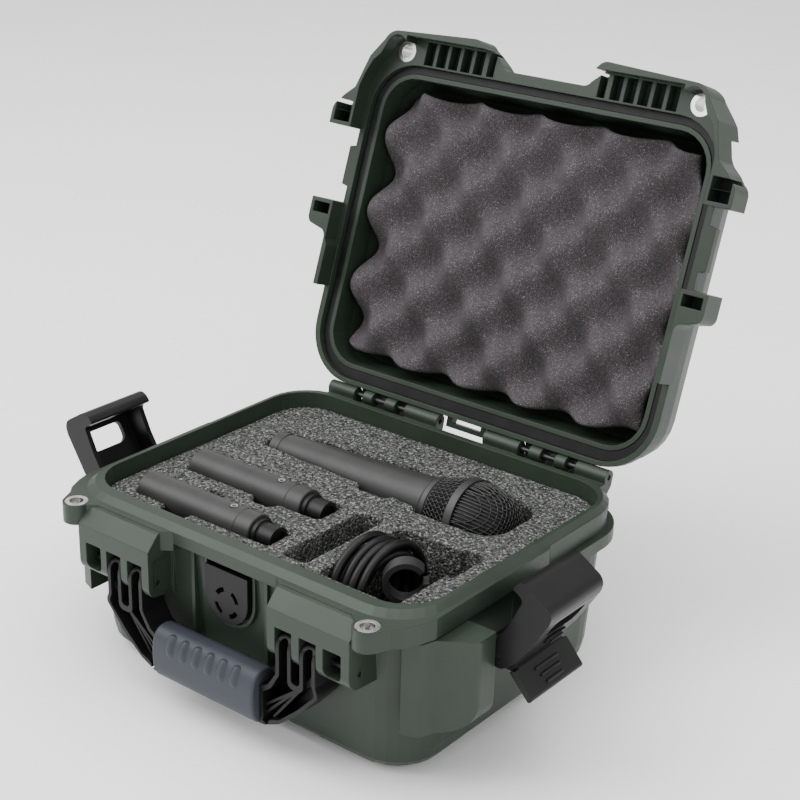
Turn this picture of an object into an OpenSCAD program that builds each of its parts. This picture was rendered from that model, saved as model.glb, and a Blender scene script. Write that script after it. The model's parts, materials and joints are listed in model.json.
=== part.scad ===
// Hard plastic microphone case with a hinged lid, two side latches, a front
// carrying handle and fitted foam. Shown as it stands open: x to the right,
// y to the back, z up, origin at the middle of the underside.

/* [Case body] */
// Clear width inside the rim
in_w = 241.6; // [200:1:320]
// Clear depth inside the rim
in_d = 186; // [170:1:260]
// Height of the parting plane above the floor
base_h = 103; // [96:1:160]
// Height of the lid above the parting plane
lid_h = 49; // [44:1:80]
// Thickness of the side walls
wall = 3.6; // [2.8:0.1:5]
// Corner radius inside the rim
corner_r = 26; // [18:1:40]
// Amount the outside draws in towards the floor
draft = 5; // [1:0.5:8]
// Rounding of the bottom edge
bottom_r = 16; // [8:1:22]
// Depth of the notches between the feet
foot_h = 5; // [3:0.5:7]

/* [Rim and seal] */
// Height of the rim ridge above the parting plane
ridge_h = 3.2; // [2:0.1:4]
// Width of the rim ridge at its foot, at the sides
ridge_w = 5.6; // [5:0.1:8]
// Thickness of the sealing ring
seal_t = 4; // [2.5:0.1:4.5]
// Gap between lid and base when shut
part_gap = 0.3; // [0.2:0.05:0.6]

/* [Lid hinge] */
// How far the lid stands open
lid_open = 109.3; // [60:0.1:115]
// Radius of the hinge barrels
barrel_r = 4.5; // [3.5:0.1:5]
// Radius of the hinge pins
hinge_pin_r = 1.7; // [1.2:0.1:2.2]

/* [Latches] */
// Width of the space between the two ears of a latch
latch_gap = 48.6; // [40:0.5:60]
// Middle of the latches, measured towards the back
latch_y = -33.5; // [-45:0.5:-10]
// Opening angle of the latch lever
lever_open = 32; // [10:1:40]
// Lean of the latch claw relative to the shut latch
claw_open = 64; // [30:1:70]
// Radius of the lever pin
latch_pin_r = 2; // [1.5:0.1:2.5]
// Radius of the claw pin
claw_pin_r = 1.8; // [1.4:0.1:2.2]
// Thickness of the claw's side plates
claw_t = 3.2; // [2.4:0.1:4]
// Length of the dished pad on the lever
pad_len = 18; // [14:0.5:24]

/* [Handle] */
// Half the distance between the inner prongs' middles
prong_in = 55.25; // [52:0.25:60]
// Half the distance between the outer prongs' middles
prong_out = 72; // [70:0.25:76]
// Width of one prong
prong_w = 10.6; // [8:0.1:11.4]
// Thickness of the handle's arms
arm_t = 17; // [12:0.5:18]
// Radius of the handle pins
handle_pin_r = 1.6; // [1.2:0.1:2]
// Length of the soft grip
grip_len = 76; // [60:1:80]
// Height of the soft grip's section
grip_h = 32; // [26:1:36]
// Thickness of the soft grip's section
grip_t = 20; // [16:0.5:22]
// Number of finger ribs on the grip
grip_ribs = 6; // [3:1:9]

/* [Foam] */
// Depth of the base foam's top face below the parting plane
foam_drop = 6.5; // [4:0.5:12]
// Thickness of the cut foam layer
foam_t = 58.5; // [50:0.5:70]
// Thickness of the lid foam at its bumps
lid_foam_t = 33; // [16:0.5:33]
// Depth of the dips in the lid foam
lid_foam_dip = 17; // [6:0.5:20]

/* [Contents] */
// Largest diameter of the microphone head
mic_head_d = 48; // [40:0.5:52]
// Length of the microphone
mic_len = 180; // [170:1:184]
// Diameter of the two cylindrical modules
module_d = 21.5; // [18:0.5:23]
// Length of the module bodies
module_len = 88; // [80:1:92]
// Diameter of the coiled cable
cable_d = 5; // [3.5:0.1:5.2]
// Outer middle-line radius of the coil
coil_r = 29.5; // [26:0.5:30]
// Turns of the coil in each of its four layers
coil_turns = 1.375; // [1.375:1:1.375]
// Outer diameter of the microphone clip
clip_d = 25; // [20:0.5:26]

/* [Hidden] */

green = [0.19, 0.25, 0.21];
black = [0.09, 0.09, 0.10];
slate = [0.27, 0.31, 0.38];
steel = [0.72, 0.72, 0.73];
grey_foam = [0.30, 0.31, 0.31];
dark_foam = [0.19, 0.17, 0.20];

$fn = 64;
eps = 0.01;
fit = 0.3;                     // gap between pieces that only pass each other
pin_fit = 0.05;                // gap of a pin in its bore
hx = in_w / 2;
hy = in_d / 2;
zp = base_h;

// ---- plan sizes measured from the inside of the rim
front_wall = 6;
back_wall = 5.5;
tub_x = hx + wall;
tub_f = -(hy + front_wall);
tub_b = hy + back_wall;
foot_x = hx + ridge_w;         // foot of the rim ridge
foot_f = -(hy + ridge_w + 5.8);
foot_b = hy + ridge_w + 1.8;
edge_x = hx + 10;              // outer edge of lid and flange
skirt = 2.5;                   // thickness of the lid's skirt
skirt_h = 12;                  // how far the skirt hangs below the parting plane
band_h = 7.2;                  // height of the rim band between the brackets
ear_x = hx + 26.2;             // outer face of the ears
ear_drop = 63;                 // lower end of the ears below the parting plane
lug_x = hx - 13.8;             // padlock eyelets
lug_y = -(hy + 19.4);
lug_r = 8;
eye_r = 4;
eye_out = 6.8;
eye_h = 11;
lug_h = 11;

// ---- hinge
hinge_y = hy + 15.5;
hinge_z = 2.3;
shelf_z = zp + hinge_z - barrel_r - 0.5;
knuckle_base = [[-106.8, -85.3], [-44, -18], [18, 44], [85.3, 106.8]];
knuckle_lid = [[-78, -70.6], [-60.2, -52], [52, 60.2], [70.6, 78]];

// ---- latch pivots, from the middle plane and from the parting plane
p1x = hx + 15.2;
p1z = -29;
p2 = [11.5, -4];               // claw pivot from the lever pivot, shut
lip_x = hx + 14.7;
lip_top = 5.3;
hook_t = 8.6;                  // thickness of the rolled hook
hook_z = lip_top + fit - p1z - p2[1];
claw_w = latch_gap - 1.2;
lever_w = claw_w - 2 * claw_t - 0.8;

// ---- handle
pivot_y = tub_f - 2 - arm_t / 2;
pivot_z = -32;
slot_w = prong_w + 1;
valve_r = 15.6;                // half width and lower radius of the valve plate
valve_top = 11.7;              // its flat top, its arc's middle and its vents'
valve_mid = 27.8;              // middle, all below the parting plane
vent_z = 31;
bracket_in = 44;
bracket_out = 100;
bracket_f = pivot_y - arm_t / 2;
grip_z = -68;
grip_y = pivot_y - 4;
core_h = 17;
core_t = 7;

// ---- foam and pockets
foam_top = zp - foam_drop;
foam_low = foam_top - foam_t;
floor_z = wall + foot_h;       // inside floor of the base
well_low = floor_z + 9;        // top of the rounding inside the base
well_top = zp + ridge_h + 1;
// How far the base's inside has drawn in at a height.
function drawn(z) = draft * (well_top - z) / (well_top - well_low);
foam_gap = 0.5;
pocket_fit = 0.4;
mod_r = module_d / 2;
mod_z = foam_top - 2;
mod_x0 = -101;
tail_len = 14;
tail_r = 7.5;
ay = -62;
by = -20;
mic_r = mic_head_d / 2;
mic_z = foam_top - 7;
mic_y = 37.5;
mic_x1 = 90;
mic_x0 = mic_x1 - mic_len;
neck_x = 37;
neck_r = 17.5;
end_r = 11;

// ---- cable
cab_r = cable_d / 2;
coil_x0 = 47.6;
layer_step = cable_d + 0.8;
turn_step = cable_d + 0.9;
coil_y = -43;
coil_z = foam_low + coil_r + cable_d * 1.5 + 1.6;
turns = 4 * coil_turns;
plug_r = 5;
pocket_x = [44, 96.6];
pocket_y = [-78, -8];

// ---- helpers
function unit(v) = v / norm(v);
function arc(c, r, a0, a1, n = 8) =
  [for (i = [0:n]) let (a = a0 + (a1 - a0) * i / n) c + r * [cos(a), sin(a)]];
function turn_to(a0, a1) = let (d = (a1 - a0) % 360)
  d > 180 ? d - 360 : (d < -180 ? d + 360 : d);
function corner(a, b, c, r, n) = let (u = unit(a - b), w = unit(c - b),
    h = acos(max(-1, min(1, u * w))) / 2, o = b + unit(u + w) * r / sin(h),
    s = b + u * r / tan(h), e = b + w * r / tan(h),
    a0 = atan2(s[1] - o[1], s[0] - o[0]), a1 = atan2(e[1] - o[1], e[0] - o[0]))
  arc(o, r, a0, a0 + turn_to(a0, a1), n);
function rpoly(p, n = 5) = [for (i = [0:len(p) - 1])
  let (k = len(p), a = p[(i + k - 1) % k], b = p[i], c = p[(i + 1) % k])
  each (b[2] > 0 ? corner([a[0], a[1]], [b[0], b[1]], [c[0], c[1]], b[2], n)
                 : [[b[0], b[1]]])];
// A list of points on the right half, closed on the left half by its mirror.
function both(p) = concat(p, [for (i = [len(p) - 1:-1:0]) [-p[i][0], p[i][1]]]);
module both_sides() { children(); mirror([1, 0, 0]) children(); }
// Extrudes a profile given in y and z along x from x0 to x1.
module along_x(x0, x1) {
  translate([x0, 0, 0]) rotate([90, 0, 90]) linear_extrude(x1 - x0) children();
}
// Extrudes a profile given in x and z along y from y0 to y1.
module along_y(y0, y1) {
  translate([0, y1, 0]) rotate([90, 0, 0]) linear_extrude(y1 - y0) children();
}
module slab(x, yf, yb, r, z, h) {
  translate([0, 0, z]) linear_extrude(h) polygon(rpoly([[-x, yf, r], [x, yf, r],
    [x, yb, r], [-x, yb, r]], 7));
}
module opened() {
  translate([0, hinge_y, zp + hinge_z]) rotate([-lid_open, 0, 0])
    translate([0, -hinge_y, -hinge_z]) children();
}

// ---- plan of the base's top band, right half, front to back
band_half = concat([[0, foot_f], [bracket_in - 6, foot_f], [bracket_in, foot_f - 4],
    [lug_x - 14, foot_f - 4], [lug_x - lug_r, lug_y]],
  arc([lug_x, lug_y], lug_r, 200, 340, 10),
  [[lug_x + 11, lug_y + 5], [foot_x - 4, foot_f + 2], [foot_x, foot_f + 11],
   [foot_x + 2.6, foot_f + 20], [foot_x + 2.6, 15], [foot_x + 0.5, 19],
   [foot_x + 0.5, hy - 33]],
  arc([foot_x - 34.5, foot_b + 0.5 - 35], 35, 0, 90, 12), [[0, foot_b + 0.5]]);
// ---- plan of the lid's lower edge, right half, front to back
lid_half = concat([[0, foot_f - 6.8]],
  arc([27, foot_f - 0.8 - 12], 6, 90, 30, 4),
  arc([48, bracket_f - 0.6], 7.5, 210, 270, 5),
  arc([lug_x, lug_y], lug_r + fit + skirt + 0.1, 270, 338, 10),
  [[foot_x - 0.4, foot_f - 0.2], [foot_x + 3.1, foot_f + 11.3],
   [foot_x + 6.1, foot_f + 21], [foot_x + 13.2, foot_f + 27]],
  arc([ear_x - 8, foot_f + 38], 8, 300, 360, 5),
  [[ear_x, latch_y - latch_gap / 2], [edge_x, latch_y - latch_gap / 2],
   [edge_x, latch_y - 13.5], [lip_x, latch_y - 12.5], [lip_x, latch_y + 12.5],
   [edge_x, latch_y + 13.5], [edge_x, latch_y + latch_gap / 2],
   [ear_x, latch_y + latch_gap / 2]],
  arc([ear_x - 6, 3], 6, 0, 55, 5), arc([edge_x + 6, 15.5], 6, 235, 180, 5),
  [[edge_x, hy - 30]], arc([edge_x - 35, hy + 10.7 - 35], 35, 0, 90, 12),
  [[0, hy + 10.7]]);

// ======================================================== base
module tub_outer() {
  hull() {
    slab(tub_x, tub_f, tub_b, corner_r + 4, zp - 2, 1.5);
    slab(tub_x - draft, tub_f + draft, tub_b - draft, corner_r + 3, bottom_r, 1);
    for (a = [25, 50, 72, 90])
      slab(tub_x - draft - bottom_r * (1 - cos(a)),
        tub_f + draft + bottom_r * (1 - cos(a)), tub_b - draft - bottom_r * (1 - cos(a)),
        corner_r + 2 - bottom_r / 4 * (1 - cos(a)), bottom_r * (1 - sin(a)), 0.4);
  }
}
module tub_inner() {
  hull() {
    slab(hx, -hy, hy, corner_r, well_top, 1);
    slab(hx - draft, draft - hy, hy - draft, corner_r - 2, well_low, 1);
    slab(hx - draft - 9, draft + 9 - hy, hy - draft - 9, corner_r - 8, floor_z, 1);
  }
}
// Front bracket, right side: the block that carries the handle's pin.
module bracket() {
  along_x(bracket_in, bracket_out) polygon(concat([[tub_f + 6, zp - 0.6],
    [foot_f - 3, zp - 0.6], [foot_f - 6, zp - 1.6], [bracket_f, zp - 10]],
    arc([pivot_y, zp + pivot_z], arm_t / 2, 180, 270, 10), [[tub_f + 9, zp + pivot_z - 10]]));
}
module bracket_cuts() {
  for (c = [prong_in, prong_out])
    translate([c - slot_w / 2, bracket_f - 5, zp - 62])
      cube([slot_w, tub_f - bracket_f + 5, 42]);
  // open pocket outside the prongs, rounded at its lower end
  along_y(bracket_f - 1, tub_f - 5) polygon(rpoly([[82.4, zp - 36, 4],
    [94.5, zp - 36, 4], [94.5, zp - 20, 1], [82.4, zp - 20, 1]]));
  // hollowed inner cheek
  translate([bracket_in - 1, bracket_f + 3.5, zp - 60]) cube([2.5, tub_f - bracket_f - 3.5, 44]);
}
module ear_side() polygon(rpoly([[tub_x - 8, zp - skirt_h - fit, 0],
  [ear_x, zp - skirt_h - fit, 1.2], [ear_x, zp - ear_drop, 15],
  [edge_x - 1, zp - ear_drop - 4, 3], [tub_x - 8, zp - ear_drop - 4, 0]], 7));
module ear_front_plan() polygon(rpoly([[tub_x - 12, foot_f + 6, 0],
  [foot_x, foot_f + 11, 3], [foot_x + 2.4, foot_f + 19, 4], [foot_x + 13, foot_f + 26.8, 8],
  [ear_x, foot_f + 31, 6], [ear_x, latch_y - latch_gap / 2, 0.8],
  [tub_x - 12, latch_y - latch_gap / 2, 0]], 6));
module ear_back_plan() polygon(rpoly([[tub_x - 12, latch_y + latch_gap / 2, 0],
  [ear_x, latch_y + latch_gap / 2, 0.8], [ear_x, 4, 6], [edge_x + 1, 12, 6],
  [edge_x, 24, 8], [tub_x - 12, 24, 0]], 6));
module ears() {
  intersection() {
    translate([0, 0, zp - ear_drop - 5]) linear_extrude(ear_drop) ear_front_plan();
    along_y(-hy - 20, 0) ear_side();
  }
  intersection() {
    translate([0, 0, zp - ear_drop - 5]) linear_extrude(ear_drop) ear_back_plan();
    along_y(-60, 40) ear_side();
  }
}
module ear_cuts() {
  // hollows open from below, leaving walls of the ears
  translate([foot_x + 3.4, foot_f + 36, zp - ear_drop - 8])
    cube([ear_x - foot_x - 3.4 - 2.6, latch_y - latch_gap / 2 - foot_f - 36 - 2.6, ear_drop - 8]);
  translate([foot_x + 3.4, latch_y + latch_gap / 2 + 2.6, zp - ear_drop - 8])
    cube([ear_x - foot_x - 3.4 - 2.6, 9.5 - 2.6, ear_drop - 8]);
}
module valve_outline(g) polygon(concat([[-valve_r - g, zp - valve_top + g]],
  arc([0, zp - valve_mid], valve_r + g, 180, 360, 20), [[valve_r + g, zp - valve_top + g]]));
module base_shell() color(green) difference() {
  union() {
    tub_outer();
    hull() {
      slab(foot_x, foot_f, foot_b, corner_r + 5, zp - 3, 3);
      slab(foot_x - 3.2, foot_f + 4.6, foot_b - 3.2, corner_r + 3, zp + ridge_h - 0.2, 0.2);
    }
    difference() {
      translate([0, 0, zp - skirt_h + fit]) linear_extrude(skirt_h - fit) polygon(both(band_half));
      // the band is lower between the brackets
      translate([6 - bracket_in, foot_f - 1, zp - skirt_h])
        cube([2 * (bracket_in - 6), tub_f - foot_f + 1, skirt_h - band_h]);
    }
    // flange that carries the side walls below the lid's skirt
    translate([0, 0, zp - 20]) linear_extrude(20 - skirt_h - fit)
      polygon(both(concat([[0, tub_b - 8], [foot_x - 6, 14], [edge_x, 14], [edge_x, hy - 30]],
        arc([edge_x - 35, hy + 10 - 35], 35, 0, 90, 12), [[60, hy + 10], [60, tub_b - 8]])));
    translate([0, 0, zp - skirt_h - 1]) linear_extrude(2)
      polygon(both(concat([[0, foot_b - 8], [foot_x, 16], [foot_x, hy - 33]],
        arc([foot_x - 34.5, foot_b + 0.5 - 35], 35, 0, 90, 12), [[0, foot_b + 0.5]])));
    both_sides() {
      bracket();
      ears();
      translate([lug_x, lug_y, zp - lug_h]) cylinder(r = lug_r, h = lug_h);
      translate([lug_x - 12, tub_f - 4, zp - lug_h]) cube([14, 12, lug_h]);
    }
    for (k = knuckle_base) {
      along_x(k[0], k[1]) polygon([[tub_b - 4, zp - 17], [foot_b + 1, zp - 14],
        [hinge_y + 3, zp - 4], [hinge_y + barrel_r, zp + hinge_z],
        [hinge_y - barrel_r, zp + hinge_z], [hinge_y - barrel_r, zp - 0.4],
        [tub_b - 4, zp - 0.4]]);
      translate([k[0], hinge_y, zp + hinge_z]) rotate([0, 90, 0])
        cylinder(r = barrel_r, h = k[1] - k[0]);
    }
    // shelf below the lid's half of the hinge
    both_sides() along_x(knuckle_base[2][1] - 1, knuckle_base[3][0] + 1)
      polygon([[tub_b - 4, zp - 17], [foot_b + 1, zp - 14], [hinge_y + 5, zp - 8],
        [hinge_y + 7, zp - 5], [hinge_y + 7, shelf_z], [tub_b - 4, shelf_z]]);
    // raised frame round the valve and edges of the front panel
    along_y(tub_f - 0.9, tub_f + 6) valve_outline(3.2);
    both_sides() translate([bracket_in - 18, tub_f - 1.6, zp - 62]) cube([2.4, 6, 56]);
  }
  tub_inner();
  along_y(tub_f - 6, tub_f + 1.4) valve_outline(1.2);
  along_y(tub_f - 1, tub_f + 3.4) translate([0, zp - vent_z]) circle(r = 7.6);
  both_sides() {
    bracket_cuts();
    ear_cuts();
    translate([lug_x, lug_y, zp - lug_h - 1]) cylinder(r = eye_out + 0.02, h = lug_h + 2);
    along_x(bracket_in - 1, bracket_out + 1) translate([pivot_y, zp + pivot_z])
      circle(r = handle_pin_r + pin_fit);
    along_y(latch_y - latch_gap / 2 - 4, latch_y + latch_gap / 2 + 4)
      translate([p1x, zp + p1z]) circle(r = latch_pin_r + pin_fit);
  }
  for (s = [-1, 1]) along_x(s > 0 ? 17 : -107.5, s > 0 ? 107.5 : -17)
    translate([hinge_y, zp + hinge_z]) circle(r = hinge_pin_r + pin_fit);
  // notches between the four feet and the hollow of the floor
  translate([-55, tub_f - 5, -1]) cube([110, 45, foot_h + 1]);
  translate([-55, tub_b - 40, -1]) cube([110, 45, foot_h + 1]);
  both_sides() translate([tub_x - 38, -38, -1]) cube([60, 76, foot_h + 1]);
  both_sides() translate([92, tub_f - 5, -1]) cube([7, 22, foot_h + 1]);
  translate([34 - hx, 52 - hy, wall]) cube([in_w - 68, in_d - 104, foot_h + 1]);
}
module eyelet() {
  difference() {
    union() {
      cylinder(r = eye_out, h = eye_h - 0.4);
      translate([0, 0, eye_h - 0.4]) cylinder(r = eye_out - 0.3, h = 0.4);
    }
    translate([0, 0, -1]) cylinder(r = eye_r, h = eye_h + 2);
  }
}
module base_eyelets() color(steel) both_sides() translate([lug_x, lug_y, zp - eye_h])
  eyelet();
module hinge_pins() color(steel) for (s = [-1, 1])
  let (a = knuckle_base[2][0] + 1, b = knuckle_base[3][1] - 0.8)
    along_x(s > 0 ? a : -b, s > 0 ? b : -a)
      translate([hinge_y, zp + hinge_z]) circle(r = hinge_pin_r);
module handle_pins() color(steel) both_sides() along_x(bracket_in + 2, bracket_out - 1)
  translate([pivot_y, zp + pivot_z]) circle(r = handle_pin_r);
module latch_pins() color(steel) both_sides()
  along_y(latch_y - latch_gap / 2 - 2.6, latch_y + latch_gap / 2 + 2.6)
    translate([p1x, zp + p1z]) circle(r = latch_pin_r);
module valve_cover() color(black) difference() {
  along_y(tub_f - 3.5, tub_f + 1.2) valve_outline(0);
  for (a = [0:90:270]) along_y(tub_f - 5, tub_f + 2)
    polygon(concat(arc([0, zp - vent_z], 9.2, a + 14, a + 62, 8),
      arc([0, zp - vent_z], 6.6, a + 62, a + 14, 8)));
}
module valve_disc() color([0.15, 0.15, 0.16]) along_y(tub_f + 1.5, tub_f + 3.2)
  translate([0, zp - vent_z]) circle(r = 7.3);

// ======================================================== lid, drawn shut
// The lid's own z runs from the parting plane.
module lid_outer() {
  hull() {
    slab(hx + 6, foot_f + 2.1, foot_b + 0.7, corner_r + 5, part_gap + 1, 2);
    for (a = [0, 22, 44, 66, 90]) let (r = min(28, lid_h - 16), i = r * (1 - cos(a)))
      slab(hx + 5.7 - i, foot_f + 2.4 + i, foot_b + 0.4 - i,
        corner_r + 5 - i / 2, lid_h - 0.4 - r * (1 - sin(a)), 0.4);
  }
}
module lid_inner() {
  hull() {
    slab(hx - 2.3, -hy - 3.6, hy - 2, corner_r - 4, -1, 12);
    for (a = [0, 30, 60, 90]) let (r = min(24, lid_h - 20), i = r * (1 - cos(a)))
      slab(hx - 2.3 - i, -hy - 3.6 + i, hy - 2 - i, max(6, corner_r - 4 - i / 2),
        lid_h - wall - 0.4 - r * (1 - sin(a)), 0.4);
  }
}
module front_block() polygon([[foot_f + 8, part_gap], [foot_f + 8, 15],
  [foot_f - 4, 13], [bracket_f - 2, 8.5], [bracket_f - 8.4, 2], [bracket_f - 9, -skirt_h],
  [lug_y + 28, -skirt_h], [lug_y + 28, part_gap]]);
module rib_pocket(x, w) translate([x - w / 2, lug_y - 8, -1]) cube([w, 14.5, 9]);
module lid_shut() difference() {
  union() {
    lid_outer();
    translate([0, 0, part_gap]) linear_extrude(lip_top - part_gap) polygon(both(lid_half));
    // upper step of the edge, drawn in towards the wall
    translate([0, 0, lip_top - 1]) linear_extrude(4.5)
      polygon(both(concat([[0, foot_f - 2], [lug_x - 16, foot_f - 2], [foot_x - 8, foot_f],
        [foot_x + 1.5, foot_f + 13], [foot_x + 1.5, latch_y - latch_gap / 2],
        [foot_x - 6, latch_y - latch_gap / 2], [foot_x - 6, latch_y + latch_gap / 2],
        [foot_x + 1.5, latch_y + latch_gap / 2], [foot_x + 1.5, hy - 30]],
        arc([foot_x + 1.5 - 32, foot_b + 1 - 32], 32, 0, 90, 10), [[0, foot_b + 1]])));
    // front lug and skirt, then the two ears of each side
    intersection() {
      translate([0, 0, -skirt_h]) linear_extrude(skirt_h + 20) polygon(both(lid_half));
      union() {
        both_sides() along_x(bracket_in - 14, edge_x + 30) front_block();
        both_sides() translate([tub_x - 4, foot_f + 20, -skirt_h])
          cube([60, latch_y - latch_gap / 2 - foot_f - 20, skirt_h + 6]);
        both_sides() translate([tub_x - 4, latch_y + latch_gap / 2, -skirt_h])
          cube([60, 46 - latch_y - latch_gap / 2, skirt_h + 6]);
      }
    }
    both_sides() translate([lug_x, lug_y, 0]) cylinder(r = lug_r, h = lug_h);
    for (k = knuckle_lid) {
      along_x(k[0], k[1]) polygon([[foot_b - 2, part_gap + 0.4], [hinge_y - barrel_r, part_gap + 0.4],
        [hinge_y - barrel_r, hinge_z], [hinge_y + barrel_r, hinge_z], [hinge_y + 2.5, hinge_z + 5],
        [hinge_y - barrel_r, 15], [foot_b - 2, 15]]);
      translate([k[0], hinge_y, hinge_z]) rotate([0, 90, 0]) cylinder(r = barrel_r, h = k[1] - k[0]);
    }
    // strip that closes the hinge between the base's knuckles
    both_sides() along_x(knuckle_base[2][1] + 0.4, knuckle_base[3][0] - 0.4)
      polygon([[foot_b - 2, hinge_z + 1.9], [hinge_y - 4.6, hinge_z + 1.9],
        [hinge_y - 2.6, hinge_z + 3.4], [hinge_y + 0.5, hinge_z + 3],
        [hinge_y + 2.2, hinge_z + 3.2], [hinge_y + 2.5, hinge_z + 5],
        [hinge_y - barrel_r, 15], [foot_b - 2, 15]]);
    // small moulded loop in the middle of the hinge side
    difference() {
      along_x(-15, 15) polygon([[foot_b - 2, 4], [hinge_y + 2, 5], [hinge_y + 2, 9], [foot_b - 2, 12]]);
      translate([-11, foot_b + 1.6, 0]) cube([22, 5.4, 20]);
    }
  }
  lid_inner();
  // seat over the base's ridge, then the groove of the sealing ring
  slab(foot_x + 0.3, foot_f - 0.3, foot_b + 0.3, corner_r + 5, -skirt_h - 1, skirt_h + 1 + ridge_h + 0.5);
  difference() {
    slab(foot_x + 0.3, foot_f - 0.3, foot_b + 0.3, corner_r + 5, 2, 2 + seal_t + 0.4);
    slab(hx + 0.7, -hy - 6.6, hy + 1, corner_r - 1, 1, 20);
  }
  // room for the base's band inside the skirt
  translate([0, 0, -skirt_h - 1]) linear_extrude(skirt_h + 1 + part_gap)
    polygon(both([for (p = band_half) let (q = p[0] > foot_x - 8 ? 0.45 : 0)
      [p[0] + q, p[1] < 0 ? p[1] - 0.05 : p[1] + 0.6]]));
  both_sides() {
    translate([0, bracket_f - 3.2, -skirt_h - 1]) cube([bracket_out + 0.5, 40, skirt_h + 1 + part_gap]);
    translate([lug_x, lug_y, -skirt_h - 1]) cylinder(r = lug_r + fit, h = skirt_h + 1 + part_gap);
    for (i = [0:5]) rib_pocket(40.5 + i * 9.6, i == 0 ? 5.4 : 7);
    for (y = [foot_f + 30, latch_y - latch_gap / 2 - 9.5, latch_y + latch_gap / 2 + 2.5])
      translate([foot_x + 5, y, -skirt_h - 1])
        cube([ear_x - foot_x - 5 - skirt, 7, skirt_h + 4]);
    translate([lug_x, lug_y, part_gap - 1]) cylinder(r = eye_out + 0.02, h = lug_h + 6);
  }
  for (s = [-1, 1]) along_x(s > 0 ? 17 : -107.5, s > 0 ? 107.5 : -17)
    translate([hinge_y, hinge_z]) circle(r = hinge_pin_r + pin_fit);
}
module lid_shell() color(green) opened() lid_shut();
module lid_gasket() color(black) opened() difference() {
  slab(foot_x, foot_f, foot_b, corner_r + 4.6, ridge_h + 1, seal_t);
  slab(hx + 1, -hy - 6.9, hy + 1.3, corner_r - 0.8, 0, 20);
}
module lid_eyelets() color(steel) opened() both_sides()
  translate([lug_x, lug_y, part_gap]) eyelet();
// Egg-crate foam: a field of bumps over a rectangle with softened corners.
foam_nx = 34;
foam_ny = 30;
foam_back = lid_h - wall - 0.3;
lf_x = hx - 4;
lf_y = hy - 5;
lf_c = -3;
lf_back = 0.78;                // how far the foam draws in towards the lid's ceiling
function lf_pt(i, j) = let (u = 2 * i / foam_nx - 1, v = 2 * j / foam_ny - 1,
    q = 1 - 0.05 * pow(u * v, 6),
    w = 1 + 0.02 * cos(v * 680 + 40) * pow(u, 4), t = 1 + 0.02 * cos(u * 920 + 80) * pow(v, 4))
  [lf_x * u * q * w / 1.02, lf_c + lf_y * v * q * t / 1.02];
function lf_z(p) = foam_back - lid_foam_t + lid_foam_dip / 2
  + lid_foam_dip / 2 * cos(360 * (p[0] + 86.5) / 46.5) * cos(360 * (p[1] + 10.5) / 50);
module lid_foam_shut() {
  nx = foam_nx;
  ny = foam_ny;
  s = nx + 1;
  top = [for (j = [0:ny]) for (i = [0:nx]) let (p = lf_pt(i, j)) [p[0], p[1], lf_z(p)]];
  ring = concat([for (i = [0:nx - 1]) i], [for (j = [0:ny - 1]) nx + s * j],
    [for (i = [nx:-1:1]) i + s * ny], [for (j = [ny:-1:1]) s * j]);
  n = len(ring);
  k = len(top);
  back = [for (r = ring) let (p = top[r]) [p[0] * lf_back, lf_c + (p[1] - lf_c) * lf_back, foam_back]];
  polyhedron(concat(top, back, [[0, lf_c, foam_back]]), concat(
    [for (j = [0:ny - 1]) for (i = [0:nx - 1]) [i + s * j, i + 1 + s * j, i + 1 + s * (j + 1)]],
    [for (j = [0:ny - 1]) for (i = [0:nx - 1]) [i + s * j, i + 1 + s * (j + 1), i + s * (j + 1)]],
    [for (i = [0:n - 1]) [ring[i], k + i, ring[(i + 1) % n]]],
    [for (i = [0:n - 1]) [ring[(i + 1) % n], k + i, k + (i + 1) % n]],
    [for (i = [0:n - 1]) [k + i, k + n, k + (i + 1) % n]]));
}
module lid_foam() color(dark_foam) opened() lid_foam_shut();

// ======================================================== handle
arm_top = pivot_z + arm_t / 2;
module arm_outline(g) polygon(rpoly([
  [prong_in - prong_w / 2 + g, arm_top - g, 5.2 - g], [prong_in + prong_w / 2 - g, arm_top - g, 5.2 - g],
  [prong_in + prong_w / 2 - g, -49.5 - g * 1.4, 2.6 + g / 2], [prong_out - prong_w / 2 + g, -49.5 - g * 1.4, 2.6 + g / 2],
  [prong_out - prong_w / 2 + g, arm_top - g, 5.2 - g], [prong_out + prong_w / 2 - g, arm_top - g, 5.2 - g],
  [prong_out + prong_w / 2 - g, -46, 4], [prong_out + prong_w / 2 + 2.2 - g, -51, 4],
  [prong_out - 6 - g / 2, -66.5 + g, 9],
  [grip_len / 2 + 14, -78 + g, 9], [grip_len / 2 + 4 - g, -82.5 + g, 3], [grip_len / 2 + 0.2 + g, -83 + g, g > 0 ? 1 : 0],
  [grip_len / 2 + 0.2 + g, -60 - g, g > 0 ? 1 : 0],
  [prong_in - prong_w / 2 - 6 + g, -57 - g / 2, 4], [prong_in - prong_w / 2 + g, -48, 4]], 5));
module arm_section() polygon(concat(arc([pivot_y, pivot_z], arm_t / 2, 0, 180, 16),
  [[bracket_f, -90], [bracket_f + arm_t, -90]]));
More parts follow.
